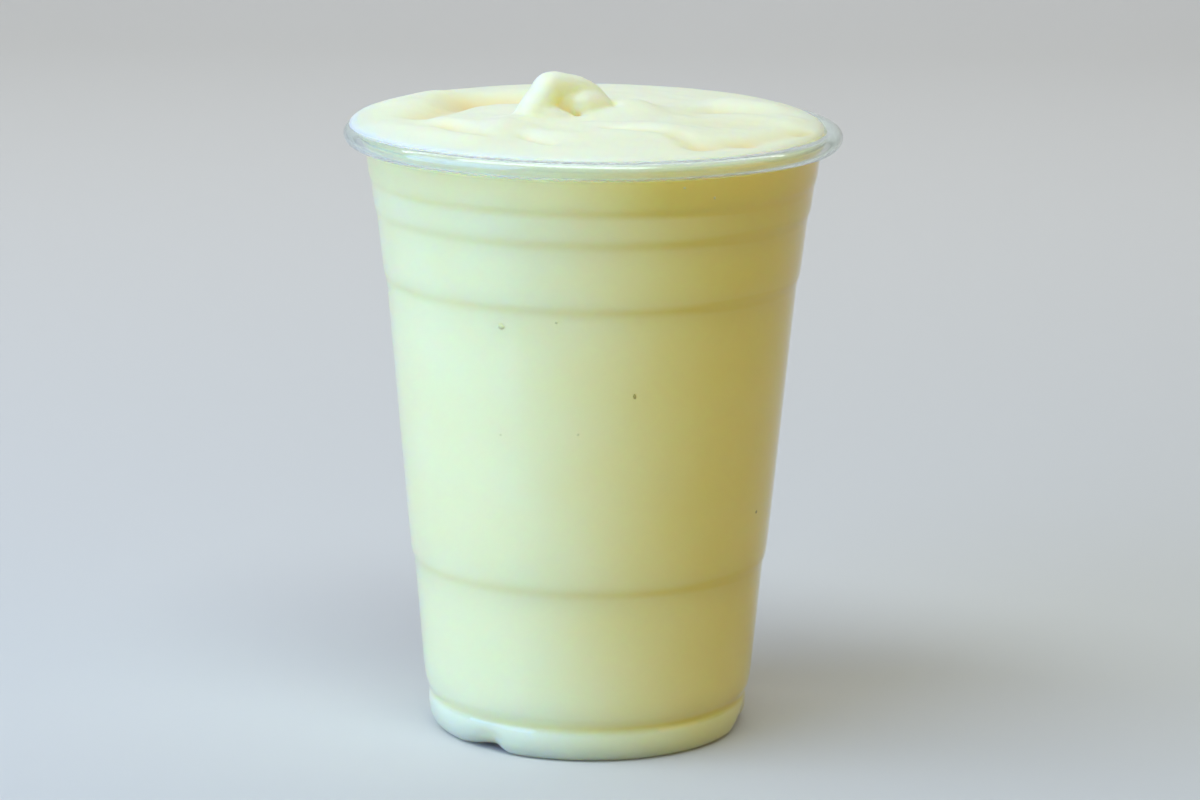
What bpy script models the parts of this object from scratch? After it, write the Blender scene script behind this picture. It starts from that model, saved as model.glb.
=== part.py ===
"""A clear plastic tumbler filled past its brim with frozen pina colada.

Metres, +Z up. The foot's contact ring lies on z = 0, the cup's axis is Z and the front is -Y.
"""

import math

import bmesh
import bpy
from mathutils import Vector

# The cup: a thermoformed sheet with a rolled rim, stacking steps and a lobed foot
RIM_RADIUS = 0.049
CUP_HEIGHT = 0.1212
WALL = 0.0005
CURL_HALF_WIDTH = 0.00155
CURL_HALF_HEIGHT = 0.00145
CURL_START = math.radians(-110)
CURL_END = math.radians(180)
CURL_POINTS = 7
FLARE_HEIGHT = 0.1148
FLARE_RADIUS = 0.0445

# The wall widens upwards from its lower end, at a slope for each stretch and with a step between two
WALL_LOW = (0.03305, 0.0122)
STRETCHES = (  # slope of a stretch, height of its top
    (0.0845, 0.0338),
    (0.0882, 0.0903),
    (0.1050, 0.1034),
    (0.1050, 0.1100),
)
STEPS = (  # height of a step, how much wider the cup is above it
    (0.0022, 0.00082),
    (0.0020, 0.00073),
    (0.0020, 0.00071),
    (0.0012, 0.00051),
)

# The rounded lower end of the wall, the groove, the foot and the raised base panel
UNDERCUT = ((0.03270, 0.0096), (0.03220, 0.0076), (0.03150, 0.0062))
FOOT = ((0.03195, 0.0045), (0.03180, 0.0026), (0.03125, 0.0009), (0.03005, 0.0))
BASE = ((0.02905, 0.0), (0.02815, 0.0006), (0.02680, 0.0032), (0.02570, 0.0040))
PANEL_HEIGHT = 0.0044

# Notches part the foot into lobes: each deepens gently and ends in a steeper step
NOTCHES = 3
FIRST_NOTCH = math.radians(-127)
NOTCH_GENTLE_SIDE = math.radians(18)
NOTCH_STEEP_SIDE = math.radians(7)
NOTCH_INWARD = 0.0012
NOTCH_RAISE = 0.0011
NOTCH_TOP = 0.0062

# The drink fills the cup to its wall and stands above the rim as a soft pillow
GAP = 0.0003
SEGMENTS = 60
SHOULDER = (0.04475, 0.1200)
EDGE_RADIUS = 0.0445
EDGE_HEIGHT = 0.1200
SPILL_RADIUS = 0.0014
SPILL_HEIGHT = 0.0013
SPILL_LEAST = 0.2
PILLOW_TOP = 0.1235
PILLOW_POWER = 4.5
TOP_RINGS = 19
TOP_CROWDING = 1.4

# Hills above and hollows below the pillow: from, to, half width, height
FOLDS = (
    ((-0.030, 0.022), (-0.022, 0.029), 0.0070, 0.0013),
    ((-0.033, -0.004), (-0.019, 0.013), 0.0050, -0.0024),
    ((-0.041, -0.014), (-0.024, -0.032), 0.0045, 0.0009),
    ((-0.029, -0.016), (-0.021, -0.032), 0.0016, -0.0006),
    ((-0.019, -0.018), (-0.016, -0.012), 0.0040, 0.0011),
    ((-0.006, -0.005), (-0.003, 0.000), 0.0028, -0.0018),
    ((0.001, 0.001), (0.006, 0.002), 0.0036, 0.0018),
    ((-0.003, -0.009), (0.005, -0.006), 0.0013, -0.0010),
    ((0.019, -0.024), (0.040, -0.014), 0.0045, -0.0017),
    ((0.020, 0.004), (0.030, 0.006), 0.0040, -0.0011),
    ((0.027, 0.015), (0.036, 0.013), 0.0045, 0.0010),
    ((0.005, -0.026), (0.016, -0.022), 0.0070, 0.0007),
    ((0.004, 0.024), (0.016, 0.026), 0.0070, 0.0004),
)

# The curl drawn up from the pillow: its spine's four control points, and its radius along them
CURL_FOOT = Vector((-0.0118, -0.0065, 0.1225))
CURL_RISE = Vector((-0.0125, -0.0055, 0.1293))
CURL_CREST = Vector((-0.0080, -0.0035, 0.1322))
CURL_TIP = Vector((0.0003, 0.0000, 0.1276))
CURL_FOOT_RADIUS = 0.0068
CURL_NECK_RADIUS = 0.0028
CURL_TIP_RADIUS = 0.0010
CURL_NECK_AT = 0.4
CURL_FREE_FROM = 0.3
CURL_RINGS = 13


def smooth(share):
    """0 to 1 with level ends."""
    share = min(1.0, max(0.0, share))
    return share * share * (3 - 2 * share)


def rim_curl():
    """The inside of the rolled rim, from its free end round to the wall."""
    centre_radius = RIM_RADIUS - WALL - CURL_HALF_WIDTH
    centre_height = CUP_HEIGHT - WALL - CURL_HALF_HEIGHT
    turn = (CURL_END - CURL_START) / (CURL_POINTS - 1)
    return [
        (
            centre_radius + CURL_HALF_WIDTH * math.cos(CURL_START + turn * i),
            centre_height + CURL_HALF_HEIGHT * math.sin(CURL_START + turn * i),
        )
        for i in range(CURL_POINTS)
    ]


def stepped_wall():
    """The wall's outside, from its lower end up to the flare under the rim."""
    radius, height = WALL_LOW
    points = [WALL_LOW]
    for (slope, top), (rise, widening) in zip(STRETCHES, STEPS):
        radius += slope * (top - height)
        points.append((radius, top))
        radius, height = radius + widening, top + rise
        points.append((radius, height))
    points.append((FLARE_RADIUS, FLARE_HEIGHT))
    return points


def sheet_outline():
    """The outside of the cup's sheet, (radius, height), from the rim's free end to the base's centre."""
    return [
        *rim_curl(),
        *reversed(stepped_wall()),
        *UNDERCUT,
        *FOOT,
        *BASE,
        (0.0, PANEL_HEIGHT),
    ]


def inset(outline, distance):
    """The outline moved towards the drink, square to itself."""
    moved = []
    for i, (radius, height) in enumerate(outline):
        before = outline[max(i - 1, 0)]
        after = outline[min(i + 1, len(outline) - 1)]
        along = Vector((after[0] - before[0], after[1] - before[1])).normalized()
        moved.append((radius + distance * along.y, height - distance * along.x))
    moved[-1] = (0.0, outline[-1][1] + distance)
    return moved


def notch_share(angle):
    """1 in the middle of a notch of the foot, 0 on a lobe."""
    pitch = 2 * math.pi / NOTCHES
    past = (angle - FIRST_NOTCH + pitch / 2) % pitch - pitch / 2
    reach = past / (NOTCH_STEEP_SIDE if past > 0 else NOTCH_GENTLE_SIDE)
    return math.cos(math.pi / 2 * min(1.0, abs(reach))) ** 2


def turned(outline, guide):
    """One ring of points for each point of the outline. The guide's heights say how far a notch reaches."""
    rings = []
    for (radius, height), (_, guide_height) in zip(outline, guide):
        reach = 1 - smooth(guide_height / NOTCH_TOP)
        ring = []
        for i in range(SEGMENTS):
            angle = 2 * math.pi * i / SEGMENTS
            share = reach * notch_share(angle)
            from_axis = max(0.0, radius - NOTCH_INWARD * share)
            raised = height + NOTCH_RAISE * share
            ring.append(Vector((from_axis * math.cos(angle), from_axis * math.sin(angle), raised)))
        rings.append(ring)
    return rings


def fold_height(x, y):
    """The hills and hollows of the drink's top, summed at one point."""
    total = 0.0
    for start, end, half_width, height in FOLDS:
        line = Vector(end) - Vector(start)
        share = (Vector((x, y)) - Vector(start)).dot(line) / line.length_squared
        nearest = Vector(start) + line * min(1.0, max(0.0, share))
        off = (Vector((x, y)) - nearest).length / half_width
        total += height * math.exp(-off * off)
    return total


def spill(angle):
    """How far the pillow leans out over the rim: most at the left, least at the right."""
    return SPILL_LEAST + (1 - SPILL_LEAST) * smooth(0.5 - 0.5 * math.cos(angle))


def pillow_edge(angle):
    """Radius and height at which the pillow begins."""
    return (
        EDGE_RADIUS + SPILL_RADIUS * spill(angle),
        EDGE_HEIGHT + SPILL_HEIGHT * spill(angle),
    )


def pillow_height(x, y):
    """Height of the pillow with its hills and hollows."""
    edge_radius, edge_height = pillow_edge(math.atan2(y, x))
    out = min(1.0, math.hypot(x, y) / edge_radius)
    rise = (1 - out**PILLOW_POWER) ** (1 / PILLOW_POWER)
    return edge_height + (PILLOW_TOP - edge_height) * rise + fold_height(x, y) * (1 - out**6)


def pillow_point(share, angle):
    """A point of the drink's top: share 0 is the pillow's edge, 1 the foot of the curl."""
    edge_radius, _ = pillow_edge(angle)
    ring_radius = edge_radius + (CURL_FOOT_RADIUS - edge_radius) * share
    centre = CURL_FOOT.xy * smooth(share)
    x = centre.x + ring_radius * math.cos(angle)
    y = centre.y + ring_radius * math.sin(angle)
    return Vector((x, y, pillow_height(x, y)))


def spine(share):
    """A point on the curl's spine, a cubic curve, and its direction there."""
    a, b, c, d = CURL_FOOT, CURL_RISE, CURL_CREST, CURL_TIP
    rest = 1 - share
    point = a * rest**3 + b * 3 * rest**2 * share + c * 3 * rest * share**2 + d * share**3
    along = (b - a) * rest**2 + (c - b) * 2 * rest * share + (d - c) * share**2
    return point, along.normalized()


def curl_radius(share):
    """The curl is broad at its foot, narrow at its neck and rounded at its tip."""
    if share < CURL_NECK_AT:
        neck = (1 - share / CURL_NECK_AT) ** 2
        return CURL_NECK_RADIUS + (CURL_FOOT_RADIUS - CURL_NECK_RADIUS) * neck
    past = (share - CURL_NECK_AT) / (1 - CURL_NECK_AT)
    radius = CURL_NECK_RADIUS + (CURL_TIP_RADIUS - CURL_NECK_RADIUS) * past
    return radius * math.sqrt(1 - past**6)


def curl_ring(share):
    """A ring round the curl's spine. The lowest ones lie on the pillow."""
    centre, along = spine(share)
    across = (Vector((0, 1, 0)) - along * along.y).normalized()
    right = across.cross(along)
    radius = curl_radius(share)
    free = smooth(share / CURL_FREE_FROM)
    ring = []
    for i in range(SEGMENTS):
        angle = 2 * math.pi * i / SEGMENTS
        point = centre + (right * math.cos(angle) + across * math.sin(angle)) * radius
        point.z = pillow_height(point.x, point.y) * (1 - free) + point.z * free
        ring.append(point)
    return ring


def drink_top():
    """Rings from the wall's top over the pillow and up the curl, without the tip."""
    angles = [2 * math.pi * i / SEGMENTS for i in range(SEGMENTS)]
    radius, height = SHOULDER
    rings = [[Vector((radius * math.cos(a), radius * math.sin(a), height)) for a in angles]]
    for i in range(TOP_RINGS):
        share = (i / TOP_RINGS) ** TOP_CROWDING
        rings.append([pillow_point(share, a) for a in angles])
    rings += [curl_ring(i / CURL_RINGS) for i in range(CURL_RINGS)]
    return rings


def solid(name, first, rings, last, colour, roughness, alpha):
    """A closed surface from one pole over the rings to the other pole, as a named object."""
    form = bmesh.new()
    loops = [[form.verts.new(p) for p in ring] for ring in rings]
    start, end = form.verts.new(first), form.verts.new(last)
    count = len(rings[0])
    for i in range(count):
        j = (i + 1) % count
        form.faces.new((start, loops[0][j], loops[0][i]))
        for low, high in zip(loops, loops[1:]):
            form.faces.new((low[i], low[j], high[j], high[i]))
        form.faces.new((end, loops[-1][i], loops[-1][j]))
    bmesh.ops.recalc_face_normals(form, faces=form.faces)
    mesh = bpy.data.meshes.new(name)
    form.to_mesh(mesh)
    form.free()
    mesh.shade_smooth()
    mesh.set_sharp_from_angle(angle=math.radians(35))
    mesh.materials.append(material(name, colour, roughness, alpha))
    made = bpy.data.objects.new(name, mesh)
    bpy.context.scene.collection.objects.link(made)
    return made


def material(name, colour, roughness, alpha):
    finish = bpy.data.materials.new(name)
    finish.use_nodes = True
    shader = finish.node_tree.nodes["Principled BSDF"]
    shader.inputs["Base Color"].default_value = (*colour, 1.0)
    shader.inputs["Roughness"].default_value = roughness
    shader.inputs["Metallic"].default_value = 0.0
    shader.inputs["Alpha"].default_value = alpha
    return finish


def cup():
    """The sheet's outside from the base up to the rim's free end, then its inside back down."""
    outline = sheet_outline()
    outside = turned(outline[:-1], outline)
    inner = inset(outline, WALL)
    inside = turned(inner[:-1], outline)
    return solid(
        "cup",
        Vector((0, 0, PANEL_HEIGHT)),
        [*reversed(outside), *inside],
        Vector((0, 0, inner[-1][1])),
        (0.86, 0.93, 0.91),
        0.12,
        0.3,
    )


def drink():
    """The drink from the curl's tip down over the pillow and along the wall to the base panel."""
    outline = sheet_outline()
    inner = inset(outline, WALL + GAP)
    below_rim = slice(CURL_POINTS, len(outline) - 1)
    side = turned(inner[below_rim], outline[below_rim])
    return solid(
        "drink",
        CURL_TIP,
        [*reversed(drink_top()), *side],
        Vector((0, 0, inner[-1][1])),
        (0.84, 0.86, 0.58),
        0.45,
        1.0,
    )


for old in list(bpy.data.objects):
    bpy.data.objects.remove(old)
cup()
drink()
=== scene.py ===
import math

import bpy
from mathutils import Matrix, Vector, noise


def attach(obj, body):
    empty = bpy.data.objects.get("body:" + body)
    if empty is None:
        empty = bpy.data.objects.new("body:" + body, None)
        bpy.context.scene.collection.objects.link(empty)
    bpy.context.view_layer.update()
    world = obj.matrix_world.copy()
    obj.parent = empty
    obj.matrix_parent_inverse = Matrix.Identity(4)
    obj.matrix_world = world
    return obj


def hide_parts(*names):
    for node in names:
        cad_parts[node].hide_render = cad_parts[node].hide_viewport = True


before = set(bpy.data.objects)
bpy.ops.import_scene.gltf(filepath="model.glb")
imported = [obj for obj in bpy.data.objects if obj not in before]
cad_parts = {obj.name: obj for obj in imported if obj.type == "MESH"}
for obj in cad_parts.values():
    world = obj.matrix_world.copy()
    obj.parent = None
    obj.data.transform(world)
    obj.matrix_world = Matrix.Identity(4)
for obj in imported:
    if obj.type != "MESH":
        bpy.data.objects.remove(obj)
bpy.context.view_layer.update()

# A clear plastic tumbler filled past its brim with frozen pina colada
# Metres, +Z up: the foot stands on z = 0, the cup's axis is Z and the front is -Y

# The cup's rolled rim and flare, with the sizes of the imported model
RIM_RADIUS = 0.049
CUP_HEIGHT = 0.1212
WALL = 0.0005
CURL_HALF_WIDTH = 0.00155
CURL_HALF_HEIGHT = 0.00145
CURL_CENTRE_RADIUS = RIM_RADIUS - WALL - CURL_HALF_WIDTH
CURL_CENTRE_HEIGHT = CUP_HEIGHT - WALL - CURL_HALF_HEIGHT
CURL_START = math.radians(-110)
CURL_END = math.radians(180)
CURL_POINTS = 13
FLARE_HEIGHT = 0.1148
FLARE_RADIUS = 0.0445

# The wall widens upwards from its lower end (radius, height), with a step between two stretches
WALL_LOW = (0.03305, 0.0122)
STRETCHES = (  # slope of a stretch of wall, height of its top
    (0.0845, 0.0338),
    (0.0882, 0.0903),
    (0.1050, 0.1034),
    (0.1050, 0.1100),
)
STEPS = (  # height of a step, how much wider the cup is above it
    (0.0022, 0.00082),
    (0.0020, 0.00073),
    (0.0020, 0.00071),
    (0.0012, 0.00051),
)

# The groove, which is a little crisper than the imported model's, the foot and the raised base panel
UNDERCUT = ((0.03275, 0.0098), (0.03250, 0.0084), (0.03145, 0.0068))
FOOT = ((0.03205, 0.0056), (0.03195, 0.0030), (0.03140, 0.0010), (0.03005, 0.0))
BASE = ((0.02905, 0.0), (0.02815, 0.0006), (0.02680, 0.0032), (0.02570, 0.0040))
PANEL_HEIGHT = 0.0044

# Notches part the foot into lobes: each deepens gently and ends in a steeper step
NOTCHES = 3
FIRST_NOTCH = math.radians(-127)
NOTCH_GENTLE_SIDE = math.radians(18)
NOTCH_STEEP_SIDE = math.radians(7)
NOTCH_INWARD = 0.0012
NOTCH_RAISE = 0.0011
NOTCH_TOP = 0.0062

# How finely the sheet is turned, how far its corners are rounded and what counts as one point
TURN_STEPS = 120
CORNER = 0.0005
CORNER_SHARE = 0.3  # a corner takes at most this share of each line that meets there
MERGE = 0.000001

# The drink's side reaches a little into the wall, so that no air shows between them
DRINK_INSET = 0.0004
JOIN_HEIGHT = 0.1180  # the side ends here, and the top is joined to it
SHOULDER_RADIUS = 0.04475
ROLL_STARTS = 0.0456  # what is wider than this, above the flare, is the rolled rim

# The pillow above the rim: its edge lies on the roll, and it slopes gently at the front
TOP_FLOOR = 0.1145
EDGE_RADIUS = 0.0445
EDGE_HEIGHT = 0.1200
EDGE_DEPTH = 0.0002  # how far the edge sinks into the roll
SPILL_RADIUS = 0.0036  # how far the pillow leans out over the rim where it does so most
SPILL_LEAST = 0.25  # share of that where it leans out least
SPILL_MOST_AT = math.radians(150)
PILLOW_TOP = 0.1235
PILLOW_POWER_FRONT = 2.4
PILLOW_POWER_BACK = 3.6
RELIEF_POWER = 6  # the higher, the closer to the edge the relief goes before it dies away
PILLOW_RINGS = 90
PILLOW_STEPS = 240
VOXEL = 0.00045
TOP_SMOOTHING = 4
UNEVENNESS = ((0.0090, 0.00028), (0.0035, 0.00012))  # how far apart the lumps are, how high

# Hills above and hollows below the pillow: from, to, half width, height
FOLDS = (
    ((-0.040, 0.012), (-0.033, 0.024), 0.0060, 0.0013),
    ((-0.033, -0.003), (-0.027, 0.011), 0.0040, -0.0017),
    ((-0.0238, 0.0180), (-0.0165, 0.0205), 0.0056, -0.0030),
    ((-0.041, -0.014), (-0.024, -0.032), 0.0045, 0.0009),
    ((-0.029, -0.014), (-0.025, -0.017), 0.0034, 0.0013),
    ((-0.028, -0.019), (-0.021, -0.029), 0.0020, -0.0010),
    ((-0.021, -0.028), (-0.015, -0.020), 0.0042, 0.0010),
    ((-0.019, -0.018), (-0.016, -0.012), 0.0040, 0.0011),
    ((-0.010, -0.026), (-0.004, -0.030), 0.0032, 0.0007),
    ((-0.0127, -0.029), (-0.008, -0.035), 0.0013, -0.0008),
    ((0.002, -0.017), (0.013, -0.019), 0.0036, 0.0007),
    ((0.003, -0.021), (0.012, -0.024), 0.0016, -0.0006),
    ((0.002, 0.000), (0.008, 0.002), 0.0055, 0.0023),
    ((-0.0050, -0.0062), (0.0040, -0.0014), 0.0010, -0.0012),
    ((0.023, -0.009), (0.030, -0.008), 0.0065, -0.0008),
    ((0.016, -0.026), (0.020, -0.0325), 0.0028, -0.0009),
    ((0.020, -0.0335), (0.029, -0.0275), 0.0032, -0.0014),
    ((0.029, -0.0275), (0.0405, -0.0135), 0.0030, -0.0013),
    ((0.0400, -0.0140), (0.0415, -0.0115), 0.0018, -0.0012),
    ((0.0195, 0.0010), (0.0240, 0.0070), 0.0032, -0.0006),
    ((0.0240, 0.0070), (0.0320, 0.0055), 0.0032, -0.0006),
    ((0.027, 0.0145), (0.036, 0.0115), 0.0040, 0.0013),
    ((0.038, -0.006), (0.040, -0.001), 0.0026, 0.0007),
    ((0.005, -0.026), (0.016, -0.022), 0.0070, 0.0007),
)

# The curled peak: limbs of cream, each a list of a point and the radius there
PEAK_LIMBS = (
    (  # the column at the left and the crest that falls away to the right
        ((-0.0130, -0.0070, 0.1185), 0.0056),
        ((-0.0118, -0.0060, 0.1235), 0.0035),
        ((-0.0098, -0.0047, 0.1270), 0.0031),
        ((-0.0086, -0.0036, 0.1287), 0.0031),
        ((-0.0055, -0.0024, 0.1290), 0.0023),
        ((-0.0020, -0.0008, 0.1281), 0.0020),
        ((0.0004, 0.0004, 0.1262), 0.0020),
        ((0.0022, 0.0014, 0.1236), 0.0019),
    ),
    (  # the flat lobe that closes the hollow at the right
        ((-0.0043, -0.0037, 0.1245), 0.0013),
        ((-0.0036, -0.0034, 0.1248), 0.0023),
        ((-0.0020, -0.0026, 0.1252), 0.0029),
        ((0.0002, -0.0014, 0.1247), 0.0030),
        ((0.0018, -0.0004, 0.1229), 0.0029),
        ((0.0030, 0.0004, 0.1206), 0.0029),
    ),
    (  # the back of the hollow
        ((-0.0095, -0.0018, 0.1215), 0.0044),
        ((-0.0062, -0.0021, 0.1254), 0.0032),
        ((-0.0030, -0.0013, 0.1250), 0.0030),
        ((0.0020, 0.0020, 0.1222), 0.0034),
    ),
    (  # the foot that runs forward below the hollow
        ((-0.0108, -0.0064, 0.1238), 0.0029),
        ((-0.0076, -0.0068, 0.1226), 0.0027),
        ((-0.0040, -0.0070, 0.1206), 0.0028),
    ),
)
LIMB_SIDES = 8

# Painted shade: the top is coloured yolk yellow in its hollows and under the crest of the peak, where it
# lies in shade
DEEPEST_FOLD = 0.0028
HOLLOW_SHADE_STRENGTH = 0.95
POCKET = Vector((-0.0060, -0.0046, 0.1250))
POCKET_RADIUS = 0.0020
POCKET_SHADE_STRENGTH = 0.5
TINT_TOP = 0.1243  # the painted shade of the pillow's hollows ends below this, so the peak stays pale
TINT_FADE = 0.0010

# How yellow the drink is behind the wall, from 0 for froth to 1 for clear juice, with painted shade in it:
# pale at the lit left side, deep yellow at the shaded right
JUICE_AND_SHADE_LEFT = 0.16
JUICE_AND_SHADE_RIGHT = 0.95
SIDE_SHADE_TURNS = (-0.016, 0.034)  # x where it starts to change and where it has changed
# The foot and the wall just above the groove are paler, less yellow
FOOT_TINT_SHIFT = -0.4
LOW_TINT_SHIFT = -0.22  # just above the groove, from where it fades up to the first step
SEAM_SHADE = 0.30  # painted shade: darker yellow lines in the groove and at the steps
SEAM_REACH = 0.0013
# Painted shadow of the rolled rim: the band just below it is yellower
FLARE_SHADOW = 0.36
FLARE_BAND = (0.1106, 0.1118)  # the painted shadow of the rim, a band below it, has a line at the first, and is even above the second
LESS_AT_LEFT = 0.4  # share of the painted shade lines and the painted shadow band that is left at the lit left side
FROTH_STARTS = (0.1187, 0.1197)  # between these heights the juice gives way to froth
CLOUDS = 0.2  # how much the juice varies from cloud to cloud
CLOUD_SIZE = 0.018
GRAIN_SIZE = 0.0012
FROTH_COLOUR = "#FAF8D0"
JUICE_AND_SHADE_COLOUR = "#EBDC6C"
# The colour of the painted shade in the top's hollows
HOLLOW_SHADE_COLOUR = "#F3DE9A"

# The sheet: how far apart its faint waves are, and how much and above what height its roll is whitened
WAVE_LENGTH = 0.020
ROLL_HAZE = 0.08
HAZE_STARTS = (FLARE_HEIGHT + 0.0015, FLARE_HEIGHT + 0.0040)  # none below the first, all above the second

# Flecks of pulp just under the wall: angle, height, half length, half width, how pale from 0 to 1
FLECKS = (
    (-115.06, 0.0877, 0.00062, 0.00050, 0.7),
    (-77.52, 0.0748, 0.00030, 0.00052, 0.05),
    (-26.10, 0.0471, 0.00036, 0.00032, 0.0),
    (-99.44, 0.0893, 0.00028, 0.00024, 0.75),
    (-67.23, 0.1155, 0.00026, 0.00022, 0.85),
    (-58.68, 0.1131, 0.00024, 0.00030, 0.75),
    (-116.58, 0.0662, 0.00026, 0.00022, 0.9),
    (-93.38, 0.0673, 0.00022, 0.00026, 0.8),
)
FLECK_THICKNESS = 0.00022
FLECK_LUMP_HEIGHT = 0.35  # as a share of the fleck's size
FLECK_LUMP_RATE = 1.4  # lumps along half a fleck
FLECK_VARIETY = 900  # gives each fleck lumps of its own

# The camera, at the photograph's angle
CAMERA_PLACE = Vector((0.0, -0.8, 0.244))
CAMERA_PITCH = math.radians(12.57)
CAMERA_YAW = -0.0024
CAMERA_ROLL = math.radians(0.66)
CAMERA_LENS = 123.6
CAMERA_SENSOR = 36.0

# The floor, which bends up into the backdrop
SWEEP_FRONT = -1.8
SWEEP_BACK = 1.5
SWEEP_HEIGHT = 1.6
SWEEP_BEND = 0.5
SWEEP_BEND_STEPS = 12
SWEEP_WIDTH = 3.6
FLOOR_DROP = 0.00002  # keeps the floor clear of the foot

# Cool daylight from a large window at the left, a warm room at the right, and lamps above
DRINK_MIDDLE = (0, 0, 0.07)
LAMPS = (  # name, place, what it points at, size, power, colour
    ("window", (-0.70, -0.34, 0.38), DRINK_MIDDLE, (0.9, 0.8), 6.4, "#A4BDFF"),
    ("room", (0.75, -0.30, 0.25), DRINK_MIDDLE, (0.5, 0.5), 0.6, "#FFB430"),
    ("ceiling", (-0.15, -0.28, 0.96), (0, 0, 0.12), (1.2, 0.35), 8.9, "#DEECF2"),
    ("backdrop_lamp", (0.0, 0.55, 1.0), (0, 1.3, 0.1), (2.2, 0.4), 10.8, "#FAFAFF"),
)
SKY_COLOUR = "#E2ECEA"
SKY_STRENGTH = 0.5


def smooth(share):
    """0 to 1 with level ends."""
    share = min(1.0, max(0.0, share))
    return share * share * (3 - 2 * share)


def rim_curl():
    """The inside of the rolled rim, from its free end round to the wall."""
    turn = (CURL_END - CURL_START) / (CURL_POINTS - 1)
    return [
        (
            CURL_CENTRE_RADIUS + CURL_HALF_WIDTH * math.cos(CURL_START + turn * i),
            CURL_CENTRE_HEIGHT + CURL_HALF_HEIGHT * math.sin(CURL_START + turn * i),
        )
        for i in range(CURL_POINTS)
    ]


def stepped_wall():
    """The wall's outside, from its lower end up to the flare under the rim."""
    radius, height = WALL_LOW
    points = [WALL_LOW]
    for (slope, top), (rise, widening) in zip(STRETCHES, STEPS):
        radius += slope * (top - height)
        points.append((radius, top))
        radius, height = radius + widening, top + rise
        points.append((radius, height))
    points.append((FLARE_RADIUS, FLARE_HEIGHT))
    return points


def rounded(points):
    """The line with each corner cut into two points, which the subdivision then rounds."""
    soft = [points[0]]
    for before, corner, after in zip(points, points[1:], points[2:]):
        corner = Vector(corner)
        for other in (Vector(before), Vector(after)):
            away = other - corner
            cut = min(CORNER, CORNER_SHARE * away.length)
            soft.append(tuple(corner + away.normalized() * cut))
    return [*soft, points[-1]]


def sheet_outline():
    """The outside of the cup's sheet, (radius, height), from the rim's free end to the base's centre."""
    below_rim = [*reversed(stepped_wall()), *UNDERCUT, *FOOT, *BASE, (0.0, PANEL_HEIGHT)]
    return [*rim_curl()[:-1], *rounded([rim_curl()[-1], *below_rim])]


def notch_share(angle):
    """1 in the middle of a notch of the foot, 0 on a lobe."""
    pitch = 2 * math.pi / NOTCHES
    past = (angle - FIRST_NOTCH + pitch / 2) % pitch - pitch / 2
    reach = past / (NOTCH_STEEP_SIDE if past > 0 else NOTCH_GENTLE_SIDE)
    return math.cos(math.pi / 2 * min(1.0, abs(reach))) ** 2


def folds_at(x, y):
    """What each hill and hollow of the drink's top adds to its height at one point."""
    heights = []
    for start, end, half_width, height in FOLDS:
        line = Vector(end) - Vector(start)
        share = (Vector((x, y)) - Vector(start)).dot(line) / line.length_squared
        nearest = Vector(start) + line * min(1.0, max(0.0, share))
        off = (Vector((x, y)) - nearest).length / half_width
        heights.append(height * math.exp(-off * off))
    return heights


def spill(angle):
    """How far the pillow leans out over the rim: most at the left, least at the right."""
    return SPILL_LEAST + (1 - SPILL_LEAST) * smooth(0.5 + 0.5 * math.cos(angle - SPILL_MOST_AT))


def lumps_at(x, y):
    """The small unevenness of blended ice at one point of the top."""
    return sum(height * noise.noise(Vector((x, y, height)) / apart) for apart, height in UNEVENNESS)


def roll_height(radius):
    """Height of the rolled rim's top at a radius."""
    across = (radius - CURL_CENTRE_RADIUS) / (CURL_HALF_WIDTH + WALL)
    return CURL_CENTRE_HEIGHT + (CURL_HALF_HEIGHT + WALL) * math.sqrt(max(0.0, 1 - across * across))


def pillow_point(out, angle):
    """A point of the pillow: out is 0 at its middle and 1 at its edge."""
    edge_radius = EDGE_RADIUS + SPILL_RADIUS * spill(angle)
    edge_height = roll_height(edge_radius) - EDGE_DEPTH
    x = out * edge_radius * math.cos(angle)
    y = out * edge_radius * math.sin(angle)
    back = smooth(0.5 + 0.5 * math.sin(angle))
    power = PILLOW_POWER_FRONT + (PILLOW_POWER_BACK - PILLOW_POWER_FRONT) * back
    rise = (1 - min(1.0, out) ** power) ** (1 / power)
    relief = sum(folds_at(x, y)) + lumps_at(x, y)
    height = edge_height + (PILLOW_TOP - edge_height) * rise + relief * (1 - out**RELIEF_POWER)
    return Vector((x, y, height))


def draw_line(name, points):
    """A new object with one line of edges, drawn point by point in the XZ plane and left in edit mode."""
    bpy.ops.object.select_all(action="DESELECT")
    bpy.ops.mesh.primitive_plane_add(size=WALL, enter_editmode=True)
    drawn = bpy.context.object
    drawn.name = name
    bpy.ops.mesh.select_mode(type="VERT")
    bpy.ops.mesh.select_all(action="SELECT")
    bpy.ops.mesh.merge(type="CENTER")
    radius, height = points[0]
    bpy.ops.transform.translate(value=(radius, 0, height))
    for before, after in zip(points, points[1:]):
        step = (after[0] - before[0], 0, after[1] - before[1])
        bpy.ops.mesh.extrude_vertices_move(TRANSFORM_OT_translate={"value": step})
    return drawn


def turn_round(steps, inside=False):
    """The line in edit mode turned once round the axis. An open sheet faces outwards with inside=True."""
    bpy.ops.mesh.select_all(action="SELECT")
    bpy.ops.mesh.spin(steps=steps, angle=2 * math.pi, center=(0, 0, 0), axis=(0, 0, 1))
    bpy.ops.mesh.select_all(action="SELECT")
    bpy.ops.mesh.remove_doubles(threshold=MERGE)
    bpy.ops.mesh.normals_make_consistent(inside=inside)
    bpy.ops.object.mode_set(mode="OBJECT")


def finish_with(piece, kind, **settings):
    """A modifier with its settings, applied."""
    bpy.context.view_layer.objects.active = piece
    modifier = piece.modifiers.new(kind.title(), kind)
    for name, setting in settings.items():
        setattr(modifier, name, setting)
    bpy.ops.object.modifier_apply(modifier=modifier.name)


def select_only(*pieces):
    """Selects these objects, the first of them active."""
    bpy.ops.object.select_all(action="DESELECT")
    for piece in pieces:
        piece.select_set(True)
    bpy.context.view_layer.objects.active = pieces[0]


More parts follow.
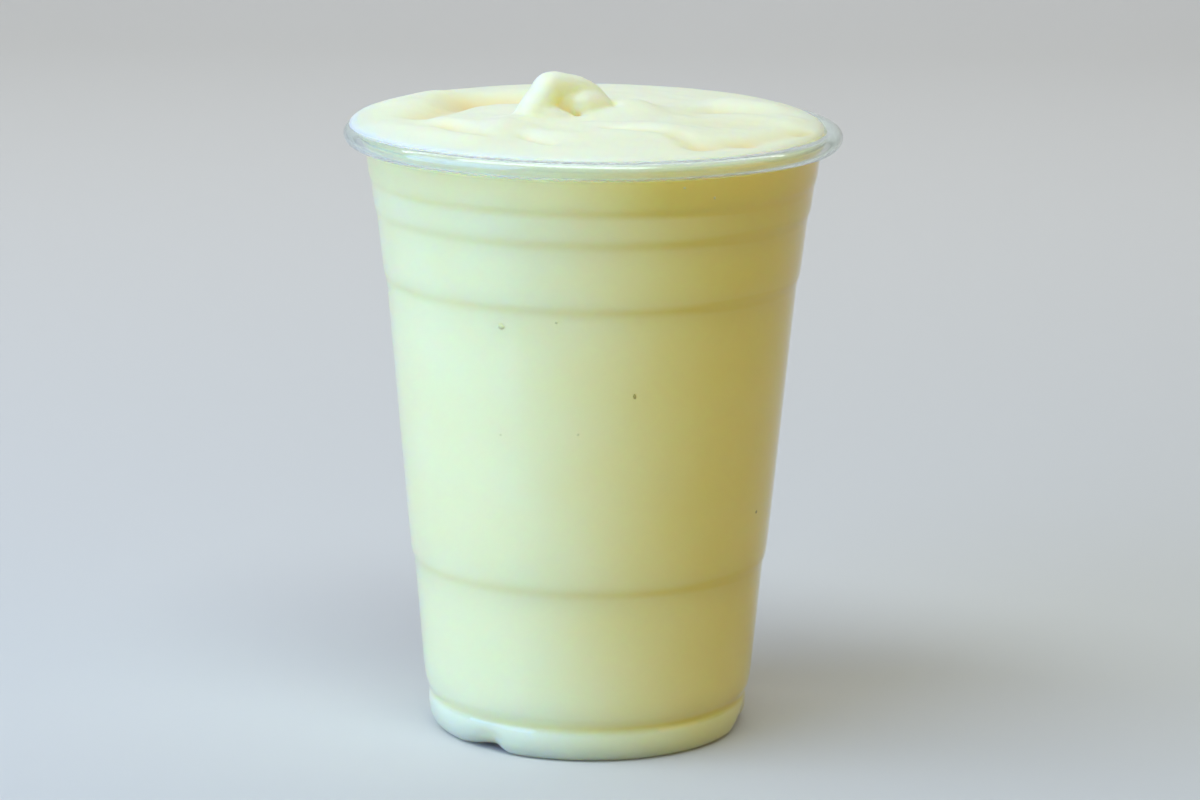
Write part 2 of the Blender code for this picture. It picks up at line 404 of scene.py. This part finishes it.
def select_points(piece, wanted):
    """Enters edit mode with the points selected whose place passes the test."""
    bpy.ops.object.mode_set(mode="EDIT")
    bpy.ops.mesh.select_mode(type="VERT")
    bpy.ops.mesh.select_all(action="DESELECT")
    bpy.ops.object.mode_set(mode="OBJECT")
    piece.data.vertices.foreach_set("select", [wanted(vertex.co) for vertex in piece.data.vertices])
    bpy.ops.object.mode_set(mode="EDIT")


def cup_sheet():
    """The outside of the cup's sheet with its notched foot, before it has a thickness."""
    sheet = draw_line("cup_shell", sheet_outline())
    turn_round(TURN_STEPS, inside=True)
    for vertex in sheet.data.vertices:
        x, y, height = vertex.co
        radius = math.hypot(x, y)
        if height < NOTCH_TOP and radius > MERGE:
            share = (1 - smooth(height / NOTCH_TOP)) * notch_share(math.atan2(y, x))
            shrink = 1 - NOTCH_INWARD * share / radius
            vertex.co = (x * shrink, y * shrink, height + NOTCH_RAISE * share)
    return sheet


def in_roll(place):
    """Whether a place on the sheet belongs to the rolled rim."""
    return place.z > FLARE_HEIGHT and math.hypot(place.x, place.y) > ROLL_STARTS


def side_of_drink(sheet):
    """The drink's side and underside: the cup's sheet up to the rim, moved inwards."""
    select_only(sheet)
    bpy.ops.object.duplicate()
    side = bpy.context.object
    side.name = "frozen_drink"
    select_points(side, in_roll)
    bpy.ops.mesh.delete(type="VERT")
    bpy.ops.mesh.select_all(action="SELECT")
    bpy.ops.transform.shrink_fatten(value=-DRINK_INSET, use_even_offset=True)
    bpy.ops.mesh.bisect(plane_co=(0, 0, JOIN_HEIGHT), plane_no=(0, 0, 1), clear_outer=True)
    bpy.ops.object.mode_set(mode="OBJECT")
    finish_with(side, "SUBSURF", levels=1, render_levels=1)
    return side


def cup_wall(sheet):
    """The sheet given its thickness, towards the drink."""
    finish_with(sheet, "SOLIDIFY", thickness=WALL, offset=-1.0, use_even_offset=True)
    finish_with(sheet, "SUBSURF", levels=1, render_levels=1)
    select_only(sheet)
    bpy.ops.object.shade_smooth()
    return sheet


def pillow():
    """The drink above the rim as a closed disc, before the peak is added."""
    rings = [(EDGE_RADIUS * (1 - i / PILLOW_RINGS), EDGE_HEIGHT) for i in range(PILLOW_RINGS + 1)]
    line = [(0.0, TOP_FLOOR), (SHOULDER_RADIUS, TOP_FLOOR), (SHOULDER_RADIUS, EDGE_HEIGHT - WALL), *rings]
    disc = draw_line("pillow", line)
    turn_round(PILLOW_STEPS)
    for vertex in disc.data.vertices:
        x, y, height = vertex.co
        if height > EDGE_HEIGHT - WALL / 2:
            vertex.co = pillow_point(math.hypot(x, y) / EDGE_RADIUS, math.atan2(y, x))
    return disc


def limb(points):
    """A round limb of cream along a smooth curve, thicker and thinner along it."""
    bpy.ops.object.select_all(action="DESELECT")
    bpy.ops.curve.primitive_bezier_curve_add()
    curve = bpy.context.object
    spline = curve.data.splines[0]
    spline.bezier_points.add(len(points) - len(spline.bezier_points))
    for knot, (place, radius) in zip(spline.bezier_points, points):
        knot.handle_left_type = "AUTO"
        knot.handle_right_type = "AUTO"
        knot.co = place
        knot.radius = radius
    curve.data.bevel_depth = 1.0
    curve.data.bevel_resolution = LIMB_SIDES
    curve.data.use_fill_caps = True
    bpy.ops.object.convert(target="MESH")
    return bpy.context.object


def drink_top():
    """The pillow with its peak, grown together and smoothed, cut open where it meets the side."""
    disc = pillow()
    limbs = [limb(points) for points in PEAK_LIMBS]
    select_only(disc, *limbs)
    bpy.ops.object.join()
    finish_with(disc, "REMESH", mode="VOXEL", voxel_size=VOXEL)
    finish_with(disc, "SMOOTH", factor=0.5, iterations=TOP_SMOOTHING)
    bpy.ops.object.mode_set(mode="EDIT")
    bpy.ops.mesh.select_all(action="SELECT")
    bpy.ops.mesh.bisect(plane_co=(0, 0, JOIN_HEIGHT + WALL), plane_no=(0, 0, 1), clear_inner=True)
    bpy.ops.object.mode_set(mode="OBJECT")
    return disc


def painted_hollow_shade(place):
    """How much painted shade a place of the top gets, from 0 to 1: more the deeper it lies in a hollow, and
    most in the pocket under the crest.
    """
    if place.z < JOIN_HEIGHT:
        return 0.0
    depth = -sum(min(0.0, fold) for fold in folds_at(place.x, place.y)) / DEEPEST_FOLD
    depth *= smooth((TINT_TOP - place.z) / TINT_FADE)
    under_crest = (place - POCKET).length / POCKET_RADIUS
    return min(1.0, HOLLOW_SHADE_STRENGTH * depth + POCKET_SHADE_STRENGTH * math.exp(-under_crest * under_crest))


def drink_body(sheet):
    """The drink as one closed piece."""
    side = side_of_drink(sheet)
    top = drink_top()
    select_only(side, top)
    bpy.ops.object.join()
    bpy.ops.object.mode_set(mode="EDIT")
    bpy.ops.mesh.select_mode(type="EDGE")
    bpy.ops.mesh.select_all(action="DESELECT")
    bpy.ops.mesh.select_non_manifold(
        extend=False,
        use_wire=False,
        use_multi_face=False,
        use_non_contiguous=False,
    )
    bpy.ops.mesh.bridge_edge_loops()
    bpy.ops.mesh.select_all(action="SELECT")
    bpy.ops.mesh.normals_make_consistent(inside=False)
    bpy.ops.object.mode_set(mode="OBJECT")
    bpy.ops.object.shade_smooth()
    # Painted shade: how deep each point lies in the top's hollows and the pocket under the crest, for the
    # material's yolk yellow
    hollow = side.data.attributes.new("hollow", "FLOAT", "POINT")
    hollow.data.foreach_set("value", [painted_hollow_shade(vertex.co) for vertex in side.data.vertices])
    return side


def paleness_and_shade_by_height():
    """What is added to the drink's yellow, from below up: less on the foot, painted shade in the lines at
    the groove and the steps, and the painted shadow of the rim in the band below it.
    """
    groove = UNDERCUT[-1][1]
    stops = [
        (0.0, FOOT_TINT_SHIFT),
        (groove - SEAM_REACH, FOOT_TINT_SHIFT),
        (groove, SEAM_SHADE),
        (groove + SEAM_REACH, LOW_TINT_SHIFT),
    ]
    for (slope, top), (rise, widening) in zip(STRETCHES[:-1], STEPS[:-1]):
        seam = top + rise / 2
        stops += [(seam - SEAM_REACH, 0.0), (seam, SEAM_SHADE), (seam + SEAM_REACH, 0.0)]
    stops += [
        (FLARE_BAND[0] - SEAM_REACH, 0.0),
        (FLARE_BAND[0], FLARE_SHADOW + SEAM_SHADE / 3),
        (FLARE_BAND[1], FLARE_SHADOW),
        (JOIN_HEIGHT - WALL, FLARE_SHADOW),
    ]
    return stops


def pulp_flecks(body):
    """Uneven flat flecks of pulp, half sunk in the drink's side where the wall presses on them."""
    made = []
    bpy.context.view_layer.update()
    for degrees, height, half_length, half_width, pale in FLECKS:
        angle = math.radians(degrees)
        outward = Vector((math.cos(angle), math.sin(angle), 0.0))
        outside = outward * RIM_RADIUS * 2 + Vector((0, 0, height))
        middle, normal = body.ray_cast(outside, -outward)[1:3]
        along = Vector((-outward.y, outward.x, 0.0))
        upward = normal.cross(along).normalized()
        bpy.ops.object.select_all(action="DESELECT")
        bpy.ops.mesh.primitive_ico_sphere_add(subdivisions=3, radius=1.0)
        fleck = bpy.context.object
        for vertex in fleck.data.vertices:
            lump = noise.noise(vertex.co * FLECK_LUMP_RATE + middle * FLECK_VARIETY)
            x, y, z = vertex.co * (1 + FLECK_LUMP_HEIGHT * lump)
            across = along * x * half_length + upward * z * half_width
            vertex.co = middle + across + normal * y * FLECK_THICKNESS
        shade = fleck.data.attributes.new("pale", "FLOAT", "POINT")
        shade.data.foreach_set("value", [pale] * len(fleck.data.vertices))
        made.append(fleck)
    select_only(*made)
    bpy.ops.object.join()
    bpy.ops.object.mode_set(mode="EDIT")
    bpy.ops.mesh.select_all(action="SELECT")
    bpy.ops.mesh.normals_make_consistent(inside=False)
    bpy.ops.object.mode_set(mode="OBJECT")
    bpy.ops.object.shade_smooth()
    made[0].name = "pulp_flecks"
    return made[0]


def linear(code):
    """An sRGB hex colour as linear red, green and blue, with full alpha."""
    shares = [int(code[i : i + 2], 16) / 255 for i in (1, 3, 5)]
    return (*[s / 12.92 if s <= 0.04045 else ((s + 0.055) / 1.055) ** 2.4 for s in shares], 1.0)


def add_node(tree, kind, values=None, links=None, **settings):
    """A node with its settings, its input values and the outputs that feed it."""
    node = tree.nodes.new(kind)
    for name, setting in settings.items():
        setattr(node, name, setting)
    for socket, value in (values or {}).items():
        node.inputs[socket].default_value = value
    for socket, source in (links or {}).items():
        tree.links.new(source, node.inputs[socket])
    return node


def new_material(name):
    """An empty node material."""
    made = bpy.data.materials.new(name)
    made.use_nodes = True
    made.node_tree.nodes.clear()
    return made


def thermoformed_pet():
    """Clear PET sheet drawn into a mould: glossy, colourless, faintly wavy, whitened where it is rolled."""
    made = new_material("thermoformed_pet")
    tree = made.node_tree
    place = add_node(tree, "ShaderNodeTexCoord")
    waves = add_node(
        tree,
        "ShaderNodeTexNoise",
        values={"Scale": 1 / WAVE_LENGTH, "Detail": 1.0},
        links={"Vector": place.outputs["Object"]},
    )
    bump = add_node(
        tree,
        "ShaderNodeBump",
        values={"Strength": 0.25, "Distance": 0.0004},
        links={"Height": waves.outputs["Fac"]},
    )
    plastic = add_node(
        tree,
        "ShaderNodeBsdfPrincipled",
        values={
            "Base Color": linear("#F8FDFC"),
            "Roughness": 0.05,
            "IOR": 1.57,
            "Transmission Weight": 1.0,
        },
        links={"Normal": bump.outputs["Normal"]},
    )
    parts = add_node(tree, "ShaderNodeSeparateXYZ", links={0: place.outputs["Object"]})
    whitened = add_node(
        tree,
        "ShaderNodeMapRange",
        values={"From Min": HAZE_STARTS[0], "From Max": HAZE_STARTS[1], "To Max": ROLL_HAZE},
        links={"Value": parts.outputs["Z"]},
    )
    haze = add_node(tree, "ShaderNodeBsdfDiffuse", values={"Color": linear("#EEF4E4")})
    sheet = add_node(
        tree,
        "ShaderNodeMixShader",
        links={0: whitened.outputs["Result"], 1: plastic.outputs[0], 2: haze.outputs[0]},
    )
    clear = add_node(tree, "ShaderNodeBsdfTransparent", values={"Color": linear("#F4FAF9")})
    path = add_node(tree, "ShaderNodeLightPath")
    mix = add_node(
        tree,
        "ShaderNodeMixShader",
        links={0: path.outputs["Is Shadow Ray"], 1: sheet.outputs[0], 2: clear.outputs[0]},
    )
    add_node(tree, "ShaderNodeOutputMaterial", links={"Surface": mix.outputs[0]})
    return made


def frozen_cream():
    """Blended coconut cream, pineapple and ice: pale, moist and milky, light sinks millimetres into it. Its
    colour holds painted shade: yellower at the right side, in the lines at the steps, in a band below the
    rim and in the top's hollows.
    """
    made = new_material("frozen_coconut_cream")
    tree = made.node_tree
    place = add_node(tree, "ShaderNodeTexCoord")
    clouds = add_node(
        tree,
        "ShaderNodeTexNoise",
        values={"Scale": 1 / CLOUD_SIZE, "Detail": 3.0, "Roughness": 0.5},
        links={"Vector": place.outputs["Object"]},
    )
    parts = add_node(tree, "ShaderNodeSeparateXYZ", links={0: place.outputs["Object"]})
    # Painted shade: the drink behind the wall turns from pale at the lit left side to deep yellow at the
    # shaded right
    side = add_node(
        tree,
        "ShaderNodeMapRange",
        values={"From Min": SIDE_SHADE_TURNS[0], "From Max": SIDE_SHADE_TURNS[1]},
        links={"Value": parts.outputs["X"]},
        interpolation_type="SMOOTHSTEP",
    )
    even = add_node(
        tree,
        "ShaderNodeMapRange",
        values={"To Min": JUICE_AND_SHADE_LEFT, "To Max": JUICE_AND_SHADE_RIGHT},
        links={"Value": side.outputs["Result"]},
    )
    upward = add_node(
        tree,
        "ShaderNodeMapRange",
        values={"From Max": JOIN_HEIGHT},
        links={"Value": parts.outputs["Z"]},
    )
    # Painted shade in the lines at the groove and the steps, and painted shadow in the band below the rim
    lines = add_node(tree, "ShaderNodeValToRGB", links={"Fac": upward.outputs["Result"]})
    stops = lines.color_ramp.elements
    middle = 0.5  # a ramp holds nothing below 0, so what is added is kept above and below this
    for height, added in paleness_and_shade_by_height():
        stop = stops.new(height / JOIN_HEIGHT)
        stop.color = (middle + added, middle + added, middle + added, 1.0)
    # The ramp's own first and last stop go
    stops.remove(stops[0])
    stops.remove(stops[len(stops) - 1])
    extra = add_node(
        tree,
        "ShaderNodeMath",
        values={1: middle},
        links={0: lines.outputs[0]},
        operation="SUBTRACT",
    )
    share = add_node(
        tree,
        "ShaderNodeMapRange",
        values={"To Min": LESS_AT_LEFT, "To Max": 1.0},
        links={"Value": side.outputs["Result"]},
    )
    more = add_node(
        tree,
        "ShaderNodeMath",
        links={0: extra.outputs[0], 1: share.outputs["Result"], 2: even.outputs["Result"]},
        operation="MULTIPLY_ADD",
    )
    behind_wall = add_node(
        tree,
        "ShaderNodeMapRange",
        values={
            "From Min": FROTH_STARTS[0],
            "From Max": FROTH_STARTS[1],
            "To Min": 1.0,
            "To Max": 0.0,
        },
        links={"Value": parts.outputs["Z"]},
    )
    cloudy = add_node(
        tree,
        "ShaderNodeMath",
        values={1: CLOUDS, 2: -CLOUDS / 2},
        links={0: clouds.outputs["Fac"]},
        operation="MULTIPLY_ADD",
    )
    juice_and_shade = add_node(
        tree,
        "ShaderNodeMath",
        links={0: more.outputs[0], 1: behind_wall.outputs["Result"], 2: cloudy.outputs[0]},
        operation="MULTIPLY_ADD",
        use_clamp=True,
    )
    flat_tint = add_node(
        tree,
        "ShaderNodeMix",
        values={"A": linear(FROTH_COLOUR), "B": linear(JUICE_AND_SHADE_COLOUR)},
        links={"Factor": juice_and_shade.outputs[0]},
        data_type="RGBA",
    )
    # Painted shade: yolk yellow in the top's hollows and in the pocket under the peak's crest
    hollow = add_node(tree, "ShaderNodeAttribute", attribute_name="hollow")
    tint = add_node(
        tree,
        "ShaderNodeMix",
        values={"B": linear(HOLLOW_SHADE_COLOUR)},
        links={"Factor": hollow.outputs["Fac"], "A": flat_tint.outputs["Result"]},
        data_type="RGBA",
    )
    grain = add_node(
        tree,
        "ShaderNodeTexNoise",
        values={"Scale": 1 / GRAIN_SIZE, "Detail": 2.0},
        links={"Vector": place.outputs["Object"]},
    )
    bump = add_node(
        tree,
        "ShaderNodeBump",
        values={"Strength": 0.12, "Distance": 0.0002},
        links={"Height": grain.outputs["Fac"]},
    )
    cream = add_node(
        tree,
        "ShaderNodeBsdfPrincipled",
        values={
            "Roughness": 0.42,
            "IOR": 1.36,
            "Subsurface Weight": 1.0,
            "Subsurface Radius": (1.0, 0.75, 0.35),
            "Subsurface Scale": 0.010,
        },
        links={"Base Color": tint.outputs["Result"], "Normal": bump.outputs["Normal"]},
    )
    add_node(tree, "ShaderNodeOutputMaterial", links={"Surface": cream.outputs[0]})
    return made


def pineapple_pulp():
    """Bits of pineapple core and skin: olive brown, wet, paler where the cream covers them."""
    made = new_material("pineapple_pulp")
    tree = made.node_tree
    pale = add_node(tree, "ShaderNodeAttribute", attribute_name="pale")
    tint = add_node(
        tree,
        "ShaderNodeMix",
        values={"A": linear("#ABA046"), "B": linear("#E9E9B4")},
        links={"Factor": pale.outputs["Fac"]},
        data_type="RGBA",
    )
    pulp = add_node(
        tree,
        "ShaderNodeBsdfPrincipled",
        values={"Roughness": 0.5, "IOR": 1.36},
        links={"Base Color": tint.outputs["Result"]},
    )
    add_node(tree, "ShaderNodeOutputMaterial", links={"Surface": pulp.outputs[0]})
    return made


def pale_wall():
    """Matt pale grey paint for the floor and the backdrop."""
    made = new_material("pale_studio_paint")
    tree = made.node_tree
    paint = add_node(
        tree,
        "ShaderNodeBsdfPrincipled",
        values={"Base Color": linear("#D3D2CB"), "Roughness": 0.8},
    )
    add_node(tree, "ShaderNodeOutputMaterial", links={"Surface": paint.outputs[0]})
    return made


def give(piece, finish):
    """Puts one material on a piece."""
    piece.data.materials.clear()
    piece.data.materials.append(finish)


def sweep():
    """The floor, which curves up into a backdrop behind the drink."""
    turn = [math.pi / 2 * i / SWEEP_BEND_STEPS for i in range(SWEEP_BEND_STEPS + 1)]
    start = SWEEP_BACK - SWEEP_BEND
    bow = [(start + SWEEP_BEND * math.sin(a), SWEEP_BEND - SWEEP_BEND * math.cos(a)) for a in turn]
    drawn = draw_line("floor", [(SWEEP_FRONT, 0.0), *bow, (SWEEP_BACK, SWEEP_HEIGHT)])
    bpy.ops.mesh.select_all(action="SELECT")
    bpy.ops.transform.translate(value=(0, -SWEEP_WIDTH / 2, -FLOOR_DROP))
    bpy.ops.mesh.extrude_edges_move(TRANSFORM_OT_translate={"value": (0, SWEEP_WIDTH, 0)})
    bpy.ops.object.mode_set(mode="OBJECT")
    drawn.data.transform(Matrix.Rotation(math.pi / 2, 4, "Z"))
    select_only(drawn)
    bpy.ops.object.shade_smooth()
    return drawn


def softbox(name, place, target, size, power, colour):
    """A soft rectangular lamp that points at a place."""
    lamp = bpy.data.lights.new(name, "AREA")
    lamp.shape = "RECTANGLE"
    lamp.size, lamp.size_y = size
    lamp.energy = power
    lamp.color = linear(colour)[:3]
    box = bpy.data.objects.new(name, lamp)
    bpy.context.scene.collection.objects.link(box)
    towards = Vector(target) - Vector(place)
    box.matrix_world = Matrix.Translation(place) @ towards.to_track_quat("-Z", "Y").to_matrix().to_4x4()


def camera():
    """The camera at the photograph's place and angle."""
    lens = bpy.data.cameras.new("camera")
    lens.lens = CAMERA_LENS
    lens.sensor_width = CAMERA_SENSOR
    lens.sensor_fit = "HORIZONTAL"
    made = bpy.data.objects.new("camera", lens)
    bpy.context.scene.collection.objects.link(made)
    made.matrix_world = (
        Matrix.Translation(CAMERA_PLACE)
        @ Matrix.Rotation(CAMERA_YAW, 4, "Z")
        @ Matrix.Rotation(math.pi / 2 - CAMERA_PITCH, 4, "X")
        @ Matrix.Rotation(CAMERA_ROLL, 4, "Z")
    )
    bpy.context.scene.camera = made


def light():
    """The lamps, and a pale sky that shows in reflections and through the plastic but lights nothing."""
    for lamp in LAMPS:
        softbox(*lamp)
    world = bpy.data.worlds.new("studio")
    world.use_nodes = True
    world.node_tree.nodes["Background"].inputs["Color"].default_value = linear(SKY_COLOUR)
    world.node_tree.nodes["Background"].inputs["Strength"].default_value = SKY_STRENGTH
    world.cycles_visibility.diffuse = False
    bpy.context.scene.world = world
    bpy.context.scene.view_settings.view_transform = "Standard"


camera()
light()
shell = cup_sheet()
drink = drink_body(shell)
flecks = pulp_flecks(drink)
cup_wall(shell)
floor = sweep()

give(shell, thermoformed_pet())
give(drink, frozen_cream())
give(flecks, pineapple_pulp())
give(floor, pale_wall())

for made, node in ((shell, "cup"), (drink, "drink"), (flecks, "drink")):
    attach(made, "root")
    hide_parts(node)
